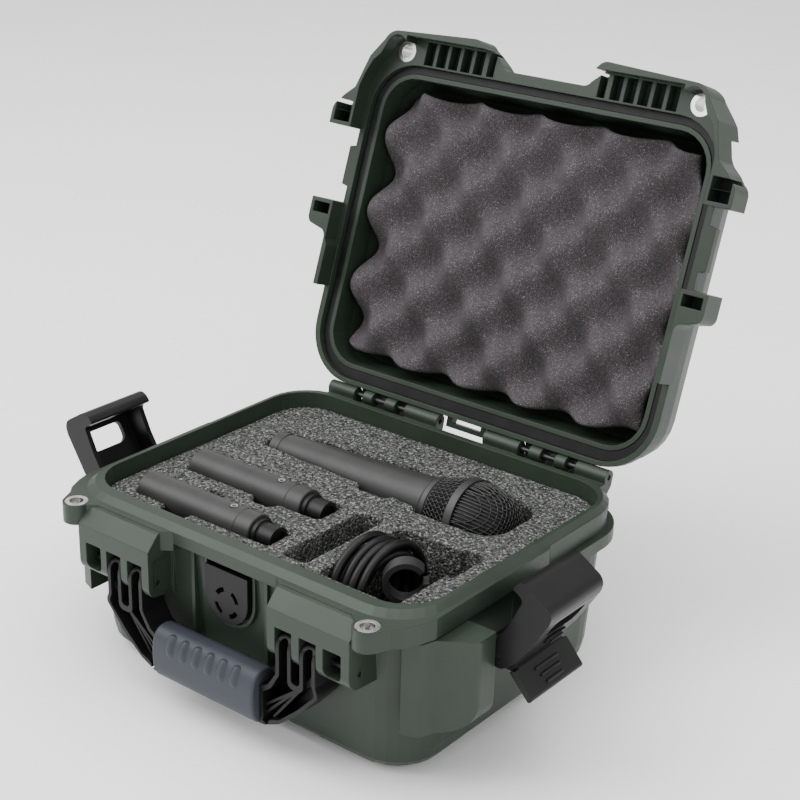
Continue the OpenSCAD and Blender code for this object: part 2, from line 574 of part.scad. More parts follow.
module handle_frame() color(black) translate([0, 0, zp]) {
  both_sides() difference() {
    intersection() {
      along_y(bracket_f - 1, bracket_f + arm_t + 1) arm_outline(0);
      along_x(grip_len / 2 - 2, prong_out + 18) arm_section();
    }
    difference() {
      along_y(bracket_f - 2, bracket_f + arm_t - 3) arm_outline(2.4);
      for (p = [[47, -61, -52], [55, -56, -45], [62, -50, -38]])
        translate([p[0] + 2, bracket_f, p[1] - 4]) rotate([0, -p[2] - 90, 0])
          translate([-30, 3, -0.8]) cube([60, arm_t, 1.6]);
    }
    along_x(prong_in - prong_w, prong_out + prong_w) translate([pivot_y, pivot_z])
      circle(r = handle_pin_r + pin_fit);
  }
  translate([-grip_len / 2 - 0.4, grip_y + 1.5 - core_t / 2, grip_z - core_h / 2])
    cube([grip_len + 0.8, core_t, core_h]);
}
function grip_pt(a) = let (c = cos(a), s = sin(a))
  [grip_y + grip_t / 2 * sign(c) * pow(abs(c), 0.78), grip_z + grip_h / 2 * sign(s) * pow(abs(s), 0.78)];
module handle_grip() color(slate) translate([0, 0, zp]) difference() {
  union() {
    along_x(-grip_len / 2, grip_len / 2) polygon([for (a = [0:10:350]) grip_pt(a)]);
    for (i = [0:grip_ribs - 1]) translate([(i - (grip_ribs - 1) / 2) * 9.6, grip_y - grip_t / 2 + 1.1, grip_z + 8])
      rotate([-33, 0, 0]) { cylinder(r = 2, h = 13, center = true, $fn = 24); for (e = [-6.5, 6.5])
        translate([0, 0, e]) sphere(r = 2, $fn = 24); }
  }
  translate([-grip_len / 2 - 1, grip_y + 1.5 - core_t / 2 - 0.05, grip_z - core_h / 2 - 0.05])
    cube([grip_len + 2, core_t + 0.1, core_h + 0.1]);
}

// ======================================================== latches
// Drawn shut on the right side in x and z from each pivot, then swung open.
module at_lever() translate([p1x, 0, zp + p1z]) rotate([0, -lever_open, 0]) children();
module at_claw() at_lever() translate([p2[0], 0, p2[1]]) rotate([0, claw_open, 0]) children();
pad_top = p2[1] - 9.6;
function lever_shape() = rpoly([[-4.4, 4.4, 4], [4.4, 4.2, 3], [p2[0] + 4.6, p2[1] + 4.4, 4],
  [p2[0] + 5.6, pad_top + 2, 3], [p2[0] + 6.6, pad_top, 2], [p2[0] + 9.6, pad_top - pad_len, 1.8],
  [p2[0] + 5.8, pad_top - pad_len, 1.2], [p2[0] + 2.4, pad_top, 4], [p2[0] - 4, p2[1] - 4.6, 4],
  [-4.4, -4.4, 4]], 5);
module lever() difference() {
  union() {
    along_y(latch_y - lever_w / 2, latch_y + lever_w / 2) polygon(lever_shape());
    along_y(latch_y - claw_w / 2 + 0.4, latch_y + claw_w / 2 - 0.4)
      intersection() {
        polygon(lever_shape());
        translate([p2[0] - 6, pad_top - pad_len - 1]) square([20, pad_len + 1 - 0.4]);
      }
    // curved finger ridges on the pad
    for (i = [0:2]) translate([p2[0] + 7.4 + i * 0.75, latch_y, pad_top - 5 - i * 4.2])
      rotate([90, 0, 0]) cylinder(r = 0.9, h = 20 - i * 3, center = true, $fn = 20);
  }
  // window between the arms, towards the case
  translate([-3, latch_y - 11, -1.2]) cube([p2[0] - 1, 22, 14]);
  along_y(latch_y - claw_w, latch_y + claw_w) circle(r = latch_pin_r + pin_fit);
  along_y(latch_y - claw_w, latch_y + claw_w) translate(p2) circle(r = claw_pin_r + pin_fit);
}
function claw_shape() = rpoly([[-5, -6, 5], [5, -6.5, 5], [9, 4, 5], [10, 14, 8],
  [10, hook_z + 1, 8], [8, hook_z + hook_t, 6.5], [-15, hook_z + hook_t, 6], [-16.5, hook_z, 1.2],
  [-8, hook_z, 3], [-6, 22, 8], [-6, 2, 5]], 6);
module claw() difference() {
  along_y(latch_y - claw_w / 2, latch_y + claw_w / 2) polygon(claw_shape());
  // space between the side plates, the hook bar and the outer plate
  along_y(latch_y - claw_w / 2 + claw_t, latch_y + claw_w / 2 - claw_t)
    polygon([[-30, -12], [30, -12], [30, 8], [7, 8], [7, hook_z - 0.5], [4, hook_z], [-30, hook_z]]);
  // rounded window under the hook bar
  translate([0, latch_y, 0]) rotate([90, 0, 90]) linear_extrude(30)
    polygon(rpoly([[-14, hook_z - 16, 5], [14, hook_z - 16, 5], [14, hook_z - 3, 3], [-14, hook_z - 3, 3]]));
  along_y(latch_y - claw_w, latch_y + claw_w) circle(r = claw_pin_r + pin_fit);
}
module claw_pin() along_y(latch_y - claw_w / 2 + 0.4, latch_y + claw_w / 2 - 0.4)
  circle(r = claw_pin_r);
module lock() {
  translate([10.3, latch_y - 7, 14.5]) cube([1.2, 14, 5.5]);
  translate([10.3, latch_y - 5, 15]) cube([2.4, 10, 1.2]);
  translate([10.3, latch_y - 5, 17]) cube([2.4, 10, 1.2]);
}
module lever_right() color(black) at_lever() lever();
module lever_left() color(black) mirror([1, 0, 0]) at_lever() lever();
module claw_right() color(black) at_claw() claw();
module claw_left() color(black) mirror([1, 0, 0]) at_claw() claw();
module claw_pin_right() color(steel) at_claw() claw_pin();
module claw_pin_left() color(steel) mirror([1, 0, 0]) at_claw() claw_pin();
module lock_right() color(slate) at_claw() lock();
module lock_left() color(slate) mirror([1, 0, 0]) at_claw() lock();

// ======================================================== base foam
module rr(x0, x1, y0, y1, r) polygon(rpoly([[x0, y0, r], [x1, y0, r], [x1, y1, r], [x0, y1, r]], 4));
module sink(depth) translate([0, 0, foam_top - depth]) linear_extrude(depth + 1) children();
mod_depth = foam_top - mod_z + mod_r + fit;
head_depth = foam_top - mic_z + mic_r + fit;
neck_depth = foam_top - mic_z + neck_r + 0.8;
module base_foam() color(grey_foam) difference() {
  hull() for (z = [foam_low, foam_top - 0.2]) let (i = drawn(z) + foam_gap)
    slab(hx - i, i - hy, hy - i, corner_r - 1.5, z, 0.2);
  for (y = [ay, by]) sink(mod_depth) rr(mod_x0 - 1, mod_x0 + module_len + tail_len + 2,
    y - mod_r - pocket_fit, y + mod_r + pocket_fit, 2);
  // finger notches beside the modules and the microphone
  sink(22) rr(-76, -55, ay - mod_r - 8, ay, 5);
  sink(22) rr(-73, -55, ay, ay + mod_r + 9, 5);
  sink(22) rr(-45, -27, by - mod_r - 6.5, by, 5);
  sink(22) rr(-44, -27, by, by + mod_r + 8, 5);
  sink(neck_depth) rr(-10, 16, 15, mic_y, 6);
  sink(neck_depth) rr(-11, 11, mic_y, 59, 6);
  sink(neck_depth) polygon([[mic_x0 - 2, mic_y - end_r - 1], [neck_x, mic_y - neck_r - 1.6],
    [neck_x, mic_y + neck_r + 4.2], [mic_x0 - 2, mic_y + end_r + 2]]);
  sink(head_depth) polygon(rpoly([[neck_x - 3, mic_y - mic_r - 0.6, 3], [mic_x1 + 2.4, mic_y - mic_r - 0.6, 17],
    [mic_x1 + 2.4, mic_y + mic_r + 2, 17], [neck_x - 3, mic_y + mic_r + 2, 3]], 5));
  sink(50) rr(15, 32, -74, -7, 2);
  sink(foam_t + 1) rr(pocket_x[0], pocket_x[1], pocket_y[0], pocket_y[1], 3);
  sink(foam_t + 1) rr(pocket_x[1] - 10, pocket_x[1] + 5, -36, -5, 3);
}
module base_pad() color(grey_foam)
  slab(hx - draft - 9.5, draft + 9.5 - hy, hy - draft - 9.5, corner_r - 8, floor_z + 0.1,
    foam_low - floor_z - 0.1);

// ======================================================== contents
module revolved_x(p) rotate([0, 90, 0]) rotate_extrude($fn = 72) polygon(p);
// Profiles are pairs of radius and distance along the microphone.
module mic_body() color([0.16, 0.16, 0.17]) translate([0, mic_y, mic_z]) difference() {
  revolved_x([[0, mic_x0], [end_r - 0.6, mic_x0], [end_r, mic_x0 + 0.6], [end_r, mic_x0 + 7],
    [end_r - 0.5, mic_x0 + 7.4], [end_r - 0.5, mic_x0 + 8.4], [end_r, mic_x0 + 8.8],
    [neck_r - 1.2, neck_x - 5], [neck_r + 0.3, neck_x - 3], [neck_r + 0.3, neck_x], [0, neck_x]]);
  translate([mic_x0 - 1, 0, 0]) rotate([0, 90, 0]) cylinder(r = end_r - 1.8, h = 2.4);
}
band_x = 56;
band_w = 5;
head_seat = 1;
module mic_grille() color([0.2, 0.2, 0.21]) translate([0, mic_y, mic_z])
  revolved_x(concat([[0, neck_x + 0.1], [neck_r + 0.3, neck_x + 0.1], [neck_r + 0.9, neck_x + 1],
    [mic_r - 1.4, band_x - 4], [mic_r - 0.6, band_x], [mic_r - 0.6 - head_seat, band_x],
    [mic_r - 0.6 - head_seat, band_x + band_w], [mic_r - 0.6, band_x + band_w]],
    [for (a = [0:9:90]) [(mic_r - 0.8) * pow(cos(a), 0.55),
      band_x + band_w + (mic_x1 - band_x - band_w) * pow(sin(a), 1.1)]]));
module mic_band() color([0.25, 0.25, 0.26]) translate([band_x + 0.1, mic_y, mic_z]) rotate([0, 90, 0])
  difference() {
    cylinder(r = mic_r, h = band_w - 0.2, $fn = 72);
    translate([0, 0, -1]) cylinder(r = mic_r - 0.6 - head_seat + 0.02, h = band_w + 2, $fn = 72);
  }
btn_r = 2.5;
btn_drop = 3;
module module_body(y, bx) difference() {
  translate([0, y, mod_z]) revolved_x([[0, mod_x0], [mod_r - 0.8, mod_x0], [mod_r, mod_x0 + 0.8],
    [mod_r, mod_x0 + module_len - 12], [mod_r - 0.3, mod_x0 + module_len - 11.6],
    [mod_r - 0.3, mod_x0 + module_len - 11.2], [mod_r, mod_x0 + module_len - 10.8],
    [mod_r, mod_x0 + module_len - 0.5], [mod_r - 0.5, mod_x0 + module_len], [0, mod_x0 + module_len]]);
  translate([bx, y, mod_z + mod_r - btn_drop - 1.6]) cylinder(r = btn_r + 0.15, h = 8, $fn = 40);
}
module module_tail(y) translate([0, y, mod_z]) revolved_x([[0, mod_x0 + module_len + 0.1],
  [tail_r + 1.4, mod_x0 + module_len + 0.1], [tail_r + 1.4, mod_x0 + module_len + 3],
  [tail_r, mod_x0 + module_len + 3.4], [tail_r, mod_x0 + module_len + tail_len],
  [tail_r - 2, mod_x0 + module_len + tail_len], [tail_r - 2, mod_x0 + module_len + tail_len - 1.5],
  [0, mod_x0 + module_len + tail_len - 1.5]]);
module module_button(y, bx) translate([bx, y, mod_z + mod_r - btn_drop - 0.5])
  difference() { cylinder(r = btn_r, h = btn_drop + 0.6, $fn = 40);
    translate([0, 0, btn_drop + 0.2]) cylinder(r = btn_r - 0.8, h = 2, $fn = 40); }
button_a = -32.4;
button_b = -34.8;
module module_a_body() color([0.15, 0.15, 0.16]) module_body(ay, button_a);
module module_b_body() color([0.15, 0.15, 0.16]) module_body(by, button_b);
module module_a_tail() color([0.08, 0.08, 0.09]) module_tail(ay);
module module_b_tail() color([0.08, 0.08, 0.09]) module_tail(by);
module module_a_button() color([0.3, 0.3, 0.31]) module_button(ay, button_a);
module module_b_button() color([0.3, 0.3, 0.31]) module_button(by, button_b);

// ---- coiled cable: four layers that spiral in and out in turn, standing on edge
rings = 24;
function tri(u) = let (m = u % 2) m <= 1 ? m : 2 - m;
function ease(x) = let (c = max(0, min(1, x))) c * c * (3 - 2 * c);
function coil_rad(t) = coil_r - turn_step * coil_turns * tri(t / coil_turns);
function coil_lift(t) = layer_step * (ease((t - coil_turns) * 2 + 0.5)
  + ease((t - 2 * coil_turns) * 2 + 0.5) + ease((t - 3 * coil_turns) * 2 + 0.5));
function coil_pt(t) = let (a = 180 - 360 * t, r = coil_rad(t))
  [coil_x0 + coil_lift(t), coil_y + r * cos(a), coil_z + r * sin(a)];
coil_n = rings * turns;
coil = [for (i = [0:coil_n]) coil_pt(i / rings)];
// lead to the first plug, which lies along x on the pocket's floor
lead_z = foam_low + plug_r + 0.3;
lead_a = [[72, -71.4, lead_z], [66, -71.4, lead_z], [58, -71.8, lead_z - 1.6],
  [51.6, -72.2, lead_z + 0.6], [48.4, -72.4, lead_z + 6.2], [coil_x0, coil_y - coil_r, lead_z + 14],
  [coil_x0, coil_y - coil_r, coil_z - 12]];
end_c = coil_pt(turns);
lead_b = [[end_c[0] + 0.2, end_c[1] + 0.2, end_c[2] - 5], [end_c[0] + 2.2, end_c[1], end_c[2] - 10],
  [end_c[0] + 6.4, end_c[1], end_c[2] - 14.5], [end_c[0] + 9.6, end_c[1], end_c[2] - 19],
  [end_c[0] + 10.4, end_c[1], end_c[2] - 24], [end_c[0] + 10.4, end_c[1], end_c[2] - 29.2]];
function catmull(p, i, t) = let (a = p[max(0, i - 1)], b = p[i], c = p[i + 1],
    d = p[min(len(p) - 1, i + 2)])
  0.5 * (2 * b + (c - a) * t + (2 * a - 5 * b + 4 * c - d) * t * t + (3 * b - a - 3 * c + d) * t * t * t);
route_a = [for (i = [0:len(lead_a) - 2]) for (t = [0, 0.5]) catmull(lead_a, i, t)];
path = concat([lead_a[0]], [for (i = [2:len(route_a) - 1]) route_a[i]], [lead_a[6]], coil, lead_b);
function frames(p, i, u) = i >= len(p) ? [] : let (
    t = unit(i == 0 ? p[1] - p[0] : (i == len(p) - 1 ? p[i] - p[i - 1] : p[i + 1] - p[i - 1])),
    v = unit(u - (u * t) * t)) concat([[v, cross(t, v)]], frames(p, i + 1, v));
module tube(p, r, sides) {
  f = frames(p, 0, [0, 0, 1]);
  m = len(p);
  pts = [for (i = [0:m - 1]) for (k = [0:sides - 1])
    p[i] + r * (f[i][0] * cos(360 * k / sides) + f[i][1] * sin(360 * k / sides))];
  polyhedron(concat(pts, [p[0], p[m - 1]]), concat(
    [for (i = [0:m - 2]) for (k = [0:sides - 1]) let (n = (k + 1) % sides)
      [i * sides + k, (i + 1) * sides + k, (i + 1) * sides + n]],
    [for (i = [0:m - 2]) for (k = [0:sides - 1]) let (n = (k + 1) % sides)
      [i * sides + k, (i + 1) * sides + n, i * sides + n]],
    [for (k = [0:sides - 1]) [m * sides, k, (k + 1) % sides]],
    [for (k = [0:sides - 1]) [m * sides + 1, (m - 1) * sides + (k + 1) % sides, (m - 1) * sides + k]]));
}
least = min([for (i = [0:len(path) - 2]) for (j = [i + 12:len(path) - 1]) norm(path[i] - path[j])]);
echo("least gap of the cable to itself", least - cable_d);
echo("cable length in metres", (2 * PI * (coil_r - turn_step * coil_turns / 2) * turns + 75) / 1000);
module cable_coil() color([0.1, 0.1, 0.11]) tube(path, cab_r, 6);
module plug(len) {
  cylinder(r1 = cab_r + 1, r2 = plug_r - 0.6, h = 4, $fn = 40);
  translate([0, 0, 4]) cylinder(r = plug_r, h = len - 4, $fn = 40);
}
module cable_plugs() color([0.07, 0.07, 0.08]) {
  translate(lead_a[0]) rotate([0, 90, 0]) plug(20);
  translate(lead_b[5]) rotate([180, 0, 0]) plug(lead_b[5][2] - foam_low - 0.3);
}

// ---- microphone clip: an open ring on a threaded socket
clip_x = 82.3;
clip_y = -51;
clip_az = 38;
clip_r = clip_d / 2;
clip_z = foam_top - 2.5;
clip_len = 9;
module mic_clip() color([0.14, 0.14, 0.15]) translate([clip_x, clip_y, 0]) rotate([0, 0, clip_az]) {
  translate([0, clip_len / 2, clip_z]) rotate([90, 0, 0]) linear_extrude(clip_len) difference() {
    circle(r = clip_r);
    circle(r = clip_r - 3.2);
    polygon([[0, 0], [clip_r * 3, clip_r * 0.2], [clip_r * 3, clip_r * 2.4]]);
  }
  translate([-5, -4.5, clip_z - clip_r - 9]) cube([10, 9, 11]);
  translate([0, 0, foam_low + fit]) difference() {
    cylinder(r = 10, h = clip_z - clip_r - 8.5 - foam_low - fit);
    translate([0, 0, -1]) cylinder(r = 7.9, h = 17);
  }
}

base_shell();
lid_shell();
lid_gasket();
base_eyelets();
lid_eyelets();
hinge_pins();
handle_frame();
handle_grip();
handle_pins();
valve_cover();
valve_disc();
latch_pins();
lever_right();
lever_left();
claw_right();
claw_left();
claw_pin_right();
claw_pin_left();
lock_right();
lock_left();
base_foam();
base_pad();
lid_foam();
mic_body();
mic_grille();
mic_band();
module_a_body();
module_a_tail();
module_a_button();
module_b_body();
module_b_tail();
module_b_button();
cable_coil();
cable_plugs();
mic_clip();
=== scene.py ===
"""Microphone case: soft pieces, woven grille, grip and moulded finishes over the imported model."""
import json
import math

import bpy
import numpy as np
from mathutils import Matrix, Vector

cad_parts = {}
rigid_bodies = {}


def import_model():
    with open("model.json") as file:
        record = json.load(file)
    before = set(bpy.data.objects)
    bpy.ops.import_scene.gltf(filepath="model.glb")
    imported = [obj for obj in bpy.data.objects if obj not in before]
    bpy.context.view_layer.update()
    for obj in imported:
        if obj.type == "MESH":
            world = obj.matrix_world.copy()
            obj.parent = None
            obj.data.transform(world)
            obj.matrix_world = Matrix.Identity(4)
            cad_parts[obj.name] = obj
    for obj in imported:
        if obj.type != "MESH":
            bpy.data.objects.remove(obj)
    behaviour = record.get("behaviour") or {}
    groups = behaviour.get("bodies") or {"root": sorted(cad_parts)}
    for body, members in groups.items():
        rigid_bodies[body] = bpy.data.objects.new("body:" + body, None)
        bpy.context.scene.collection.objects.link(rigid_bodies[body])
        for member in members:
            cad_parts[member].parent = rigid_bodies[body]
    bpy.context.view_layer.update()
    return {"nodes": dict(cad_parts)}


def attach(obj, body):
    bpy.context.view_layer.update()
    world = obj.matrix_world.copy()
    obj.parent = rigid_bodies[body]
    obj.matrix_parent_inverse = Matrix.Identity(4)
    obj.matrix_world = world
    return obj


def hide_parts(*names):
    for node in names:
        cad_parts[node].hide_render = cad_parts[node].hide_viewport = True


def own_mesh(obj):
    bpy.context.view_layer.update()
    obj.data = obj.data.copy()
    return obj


for spare in list(bpy.data.objects):
    bpy.data.objects.remove(spare)
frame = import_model()
NODES = frame["nodes"]
MM = 0.001


def add_object(name, data):
    """A new object in the scene."""
    item = bpy.data.objects.new(name, data)
    bpy.context.scene.collection.objects.link(item)
    return item


# ------------------------------------------------------------------ camera
CAMERA_TURN, CAMERA_TILT, CAMERA_ROLL = 38.35, 22.75, 1.27
CAMERA_SPOT = (0.5829, -0.6921, 0.5389)
SENSOR_WIDTH, FOCAL_LENGTH = 36, 78.31


def set_camera():
    """Camera at the photograph's place.

    Its right, up and back directions come from a turn about +Z, a tilt and a roll.
    """
    turn, tilt, roll = (math.radians(a) for a in (CAMERA_TURN, CAMERA_TILT, CAMERA_ROLL))
    level = math.cos(tilt)
    back = np.array([math.sin(turn) * level, -math.cos(turn) * level, math.sin(tilt)])
    right = np.array([math.cos(turn), math.sin(turn), 0.0])
    up = np.cross(back, right)
    axes = (
        right * math.cos(roll) + up * math.sin(roll),
        up * math.cos(roll) - right * math.sin(roll),
        back,
    )
    data = bpy.data.cameras.new("camera")
    data.sensor_width, data.lens = SENSOR_WIDTH, FOCAL_LENGTH
    data.clip_start, data.clip_end = 0.05, 20
    camera = add_object("camera", data)
    place = np.eye(4)
    place[:3, :3] = np.array(axes).T
    place[:3, 3] = CAMERA_SPOT
    camera.matrix_world = Matrix(place.tolist())
    bpy.context.scene.camera = camera


set_camera()


# ------------------------------------------------------------------ mesh tools
def make_piece(name, points, faces, body, material):
    """A smooth mesh from points in millimetres and a list of face arrays, riding on a body."""
    points = np.asarray(points, np.float64).reshape(-1, 3) * MM
    faces = [np.asarray(f, np.int32) for f in faces]
    corners = np.concatenate([f.ravel() for f in faces])
    sizes = np.concatenate([np.full(len(f), f.shape[1], np.int32) for f in faces])
    starts = np.concatenate([[0], np.cumsum(sizes)[:-1]]).astype(np.int32)
    mesh = bpy.data.meshes.new(name)
    mesh.vertices.add(len(points))
    mesh.vertices.foreach_set("co", points.astype(np.float32).ravel())
    mesh.loops.add(len(corners))
    mesh.loops.foreach_set("vertex_index", corners)
    mesh.polygons.add(len(sizes))
    mesh.polygons.foreach_set("loop_start", starts)
    mesh.polygons.foreach_set("loop_total", sizes)
    mesh.update(calc_edges=True)
    mesh.polygons.foreach_set("use_smooth", np.full(len(sizes), True))
    mesh.materials.append(material)
    piece = add_object(name, mesh)
    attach(piece, body)
    return piece


def grid_faces(rows, columns, ring=False):
    """Quads over a grid of rows and columns of points; with ring the last column joins the first."""
    across = np.arange(columns if ring else columns - 1)
    i, j = np.meshgrid(np.arange(rows - 1), across, indexing="ij")
    k = (j + 1) % columns
    near, far = i * columns, (i + 1) * columns
    return np.stack([near + j, near + k, far + k, far + j], -1).reshape(-1, 4)


def fan_faces(ring, middle):
    """Triangles from each side of a ring of point numbers to one middle point."""
    ring = np.asarray(ring)
    return np.stack([ring, np.roll(ring, -1), np.full(len(ring), middle)], -1)


def capped_faces(stations, sides):
    """Faces of a row of rings, each end closed by a fan to one of the two points after them."""
    count = stations * sides
    first = np.arange(sides)
    last = first + count - sides
    wall = grid_faces(stations, sides, ring=True)
    return [wall, fan_faces(first[::-1], count), fan_faces(last, count + 1)]


def unit(v):
    """Vectors brought to length 1."""
    return v / np.linalg.norm(v, axis=-1, keepdims=True)


def smooth_route(points, steps):
    """Catmull-Rom curve through the points, with the same number of steps between each pair."""
    p = np.asarray(points, float)
    p = np.vstack([2 * p[0] - p[1], p, 2 * p[-1] - p[-2]])
    a, b, c, d = p[:-3, None], p[1:-2, None], p[2:-1, None], p[3:, None]
    t = (np.arange(steps) / steps)[None, :, None]
    curved = (2 * a - 5 * b + 4 * c - d) * t**2
    twisted = (3 * b - a - 3 * c + d) * t**3
    run = 0.5 * (2 * b + (c - a) * t + curved + twisted)
    return np.vstack([run.reshape(-1, 3), p[-2]])


def route_frames(line):
    """Side and up directions along a line, each carried from the one before without twisting."""
    ahead = unit(np.gradient(line, axis=0))
    side = np.empty_like(line)
    s = np.array([0.0, 0.0, 1.0])
    for i, t in enumerate(ahead):
        s = unit(s - (s @ t) * t)
        side[i] = s
    return side, np.cross(ahead, side)


def tube(line, radius, sides):
    """Points and faces of a round tube along a line.

    Each station's circle is the radius times (cos, sin) of its side and up directions.
    """
    side, up = route_frames(line)
    a = np.linspace(0, 2 * np.pi, sides, endpoint=False)
    circle = side[:, None] * np.cos(a)[None, :, None] + up[:, None] * np.sin(a)[None, :, None]
    rings = line[:, None] + radius * circle
    points = np.vstack([rings.reshape(-1, 3), line[0], line[-1]])
    return points, capped_faces(len(line), sides)


# ------------------------------------------------------------------ shader tools
MIX_SHARE, MIX_LOW, MIX_HIGH, MIX_RESULT = 0, 6, 7, 2  # sockets of a Mix node for colours


class Value:
    """A socket of a shader; adding to it or multiplying it adds a Math node."""

    def __init__(self, finish, socket):
        self.finish, self.socket = finish, socket

    def math(self, operation, other):
        settings = {"operation": operation}
        return self.finish.add("ShaderNodeMath", settings, {0: self, 1: other})()

    def __add__(self, other):
        return self.math("ADD", other)

    def __mul__(self, other):
        return self.math("MULTIPLY", other)

    def rises(self, low, high, to_low=0.0, to_high=1.0):
        """Goes smoothly from to_low to to_high as the value goes from low to high."""
        settings = {"interpolation_type": "SMOOTHSTEP"}
        values = {
            "Value": self,
            "From Min": low,
            "From Max": high,
            "To Min": to_low,
            "To Max": to_high,
        }
        return self.finish.add("ShaderNodeMapRange", settings, values)("Result")


class Finish:
    """A material made of nodes, whose one shader takes constant settings directly."""

    def __init__(self, name, **constants):
        self.material = bpy.data.materials.new(name)
        self.material.use_nodes = True
        self.tree = self.material.node_tree
        self.tree.nodes.clear()
        out = self.tree.nodes.new("ShaderNodeOutputMaterial")
        self.shader = self.tree.nodes.new("ShaderNodeBsdfPrincipled")
        self.tree.links.new(self.shader.outputs[0], out.inputs[0])
        for socket, value in constants.items():
            self.shader.inputs[socket.replace("_", " ")].default_value = value
        self.place = self.add("ShaderNodeTexCoord")("Object")

    def add(self, kind, settings=None, values=None):
        """Adds a node: its settings first, then the values or links of its sockets.

        Returns a call that gives an output.
        """
        node = self.tree.nodes.new(kind)
        for key, value in (settings or {}).items():
            setattr(node, key, value)
        for key, value in (values or {}).items():
            self.set(node.inputs[key], value)
        return lambda name=0: Value(self, node.outputs[name])

    def set(self, socket, value):
        """Links a value to a socket, or sets the socket to a number or a colour."""
        if isinstance(value, Value):
            self.tree.links.new(value.socket, socket)
        elif isinstance(value, tuple) and len(value) == 3 and socket.type == "RGBA":
            socket.default_value = (*value, 1)
        else:
            socket.default_value = value

    def noise(self, size, detail, place=None):
        """Soft noise whose features are about size millimetres wide."""
        values = {"Vector": place or self.place, "Scale": 1000 / size, "Detail": detail}
        return self.add("ShaderNodeTexNoise", {}, values)(0)

    def cells(self, size, output="Color"):
        """Cells about size millimetres wide.

        Color gives a random number for each, and Distance the way to its middle.
        """
        values = {"Vector": self.place, "Scale": 1000 / size}
        return self.add("ShaderNodeTexVoronoi", {"feature": "F1"}, values)(output)

    def mix(self, share, low, high):
        """Colour between low and high."""
        values = {MIX_SHARE: share, MIX_LOW: low, MIX_HIGH: high}
        return self.add("ShaderNodeMix", {"data_type": "RGBA"}, values)(MIX_RESULT)

    def colour(self, value):
        self.set(self.shader.inputs["Base Color"], value)

    def rough(self, value):
        self.set(self.shader.inputs["Roughness"], value)

    def relief(self, height, depth, normal=None):
        """Bump of that depth in millimetres, over a rounded-edge normal where one is given."""
        values = {"Height": height, "Distance": depth * MM, "Strength": 1.0}
        if normal is not None:
            values["Normal"] = normal
        self.set(self.shader.inputs["Normal"], self.add("ShaderNodeBump", {}, values)())

    def eased_edge(self, radius):
        """Normal that rounds each sharp edge by a radius in millimetres."""
        return self.add("ShaderNodeBevel", {"samples": 4}, {"Radius": radius * MM})()


def moulded(name, dark, light, roughness, grain=0.35, edge=0.7, depth=0.03, glance=0.3):
    """Moulded plastic: slow drift of colour and gloss, fine spark-eroded grain, eased edges."""
    f = Finish(name, Specular_IOR_Level=glance)
    drift = f.noise(38, 3).rises(0.35, 0.65)
    spots = f.noise(1.4, 2).rises(0.3, 0.7)
    f.colour(f.mix(drift * 0.7 + spots * 0.3, dark, light))
    f.rough(drift * 0.07 + spots * 0.05 + (roughness - 0.06))
    f.relief(f.noise(grain, 2), depth, f.eased_edge(edge))
    return f.material


def painted_metal(name, dark, light, roughness, edge=0.25, glance=0.35):
    """Powder-coated metal: a tight orange-peel grain with a faint drift of shade."""
    f = Finish(name, Specular_IOR_Level=glance)
    drift = f.noise(18, 2).rises(0.3, 0.7)
    f.colour(f.mix(drift, dark, light))
    f.rough(f.noise(2.2, 2) * 0.1 + (roughness - 0.05))
    f.relief(f.noise(0.22, 1), 0.02, f.eased_edge(edge))
    return f.material


def rubber(name, dark, light, roughness, depth=0.05):
    """Soft rubber: dull, with dusty lighter patches and a fine leathery skin."""
    f = Finish(name, Specular_IOR_Level=0.25)
    dust = f.noise(9, 4).rises(0.4, 0.75)
    f.colour(f.mix(dust, dark, light))
    f.rough(dust * 0.12 + (roughness - 0.05))
    f.relief(f.noise(0.5, 3), depth)
    return f.material


def polished_steel(name):
    """Turned stainless steel: fine rings from a stretched noise, with small changes of gloss."""
    f = Finish(name, Metallic=1.0)
    stretch = {"Vector": f.place, "Scale": (0.25, 0.25, 6.0)}
    rings = f.noise(0.9, 3, place=f.add("ShaderNodeMapping", {}, stretch)())
    f.colour(f.mix(rings.rises(0.3, 0.7), (0.52, 0.51, 0.5), (0.72, 0.71, 0.7)))
    f.rough(rings * 0.16 + 0.14)
    f.relief(rings, 0.015, f.eased_edge(0.3))
    return f.material


def ring_button(name, x, y):
    """Dark button with a pale ring, by the distance in plan from the button's middle."""
    inner_edge, outer_edge = (0.0012, 0.0014), (0.0020, 0.0022)
    f = Finish(name, Roughness=0.4, Specular_IOR_Level=0.35)
    plan = f.add("ShaderNodeMapping", {}, {"Vector": f.place, "Scale": (1, 1, 0)})()
    ends = {0: plan, 1: (x * MM, y * MM, 0)}
    away = f.add("ShaderNodeVectorMath", {"operation": "DISTANCE"}, ends)("Value")
    ring = away.rises(*inner_edge) * away.rises(*outer_edge, 1.0, 0.0)
    f.colour(f.mix(ring, (0.012, 0.012, 0.012), (0.30, 0.30, 0.295)))
    f.relief(f.noise(0.22, 1), 0.02)
    return f.material


def speckled_foam(name, dark, middle, light, cell, depth, glint):
    """Cut foam: each cell has its own shade, with dark pores and a few pale torn strands."""
    f = Finish(name, Specular_IOR_Level=0.2)
    shade = f.cells(cell).rises(0.15, 0.85)
    torn = f.noise(cell * 1.3, 3)
    pores = f.cells(cell, "Distance").rises(0.25, 0.75)
    body = f.mix(shade * 0.6 + torn.rises(0.38, 0.62) * 0.4, dark, middle)
    pale = f.cells(cell * 0.62).rises(glint - 0.22, glint) * torn.rises(0.42, 0.6)
    f.colour(f.mix(pale, body, light))
    f.rough(shade * 0.12 + 0.8)
    f.relief(pores * -0.6 + torn * 1.2 + shade * 0.5, depth)
    return f.material


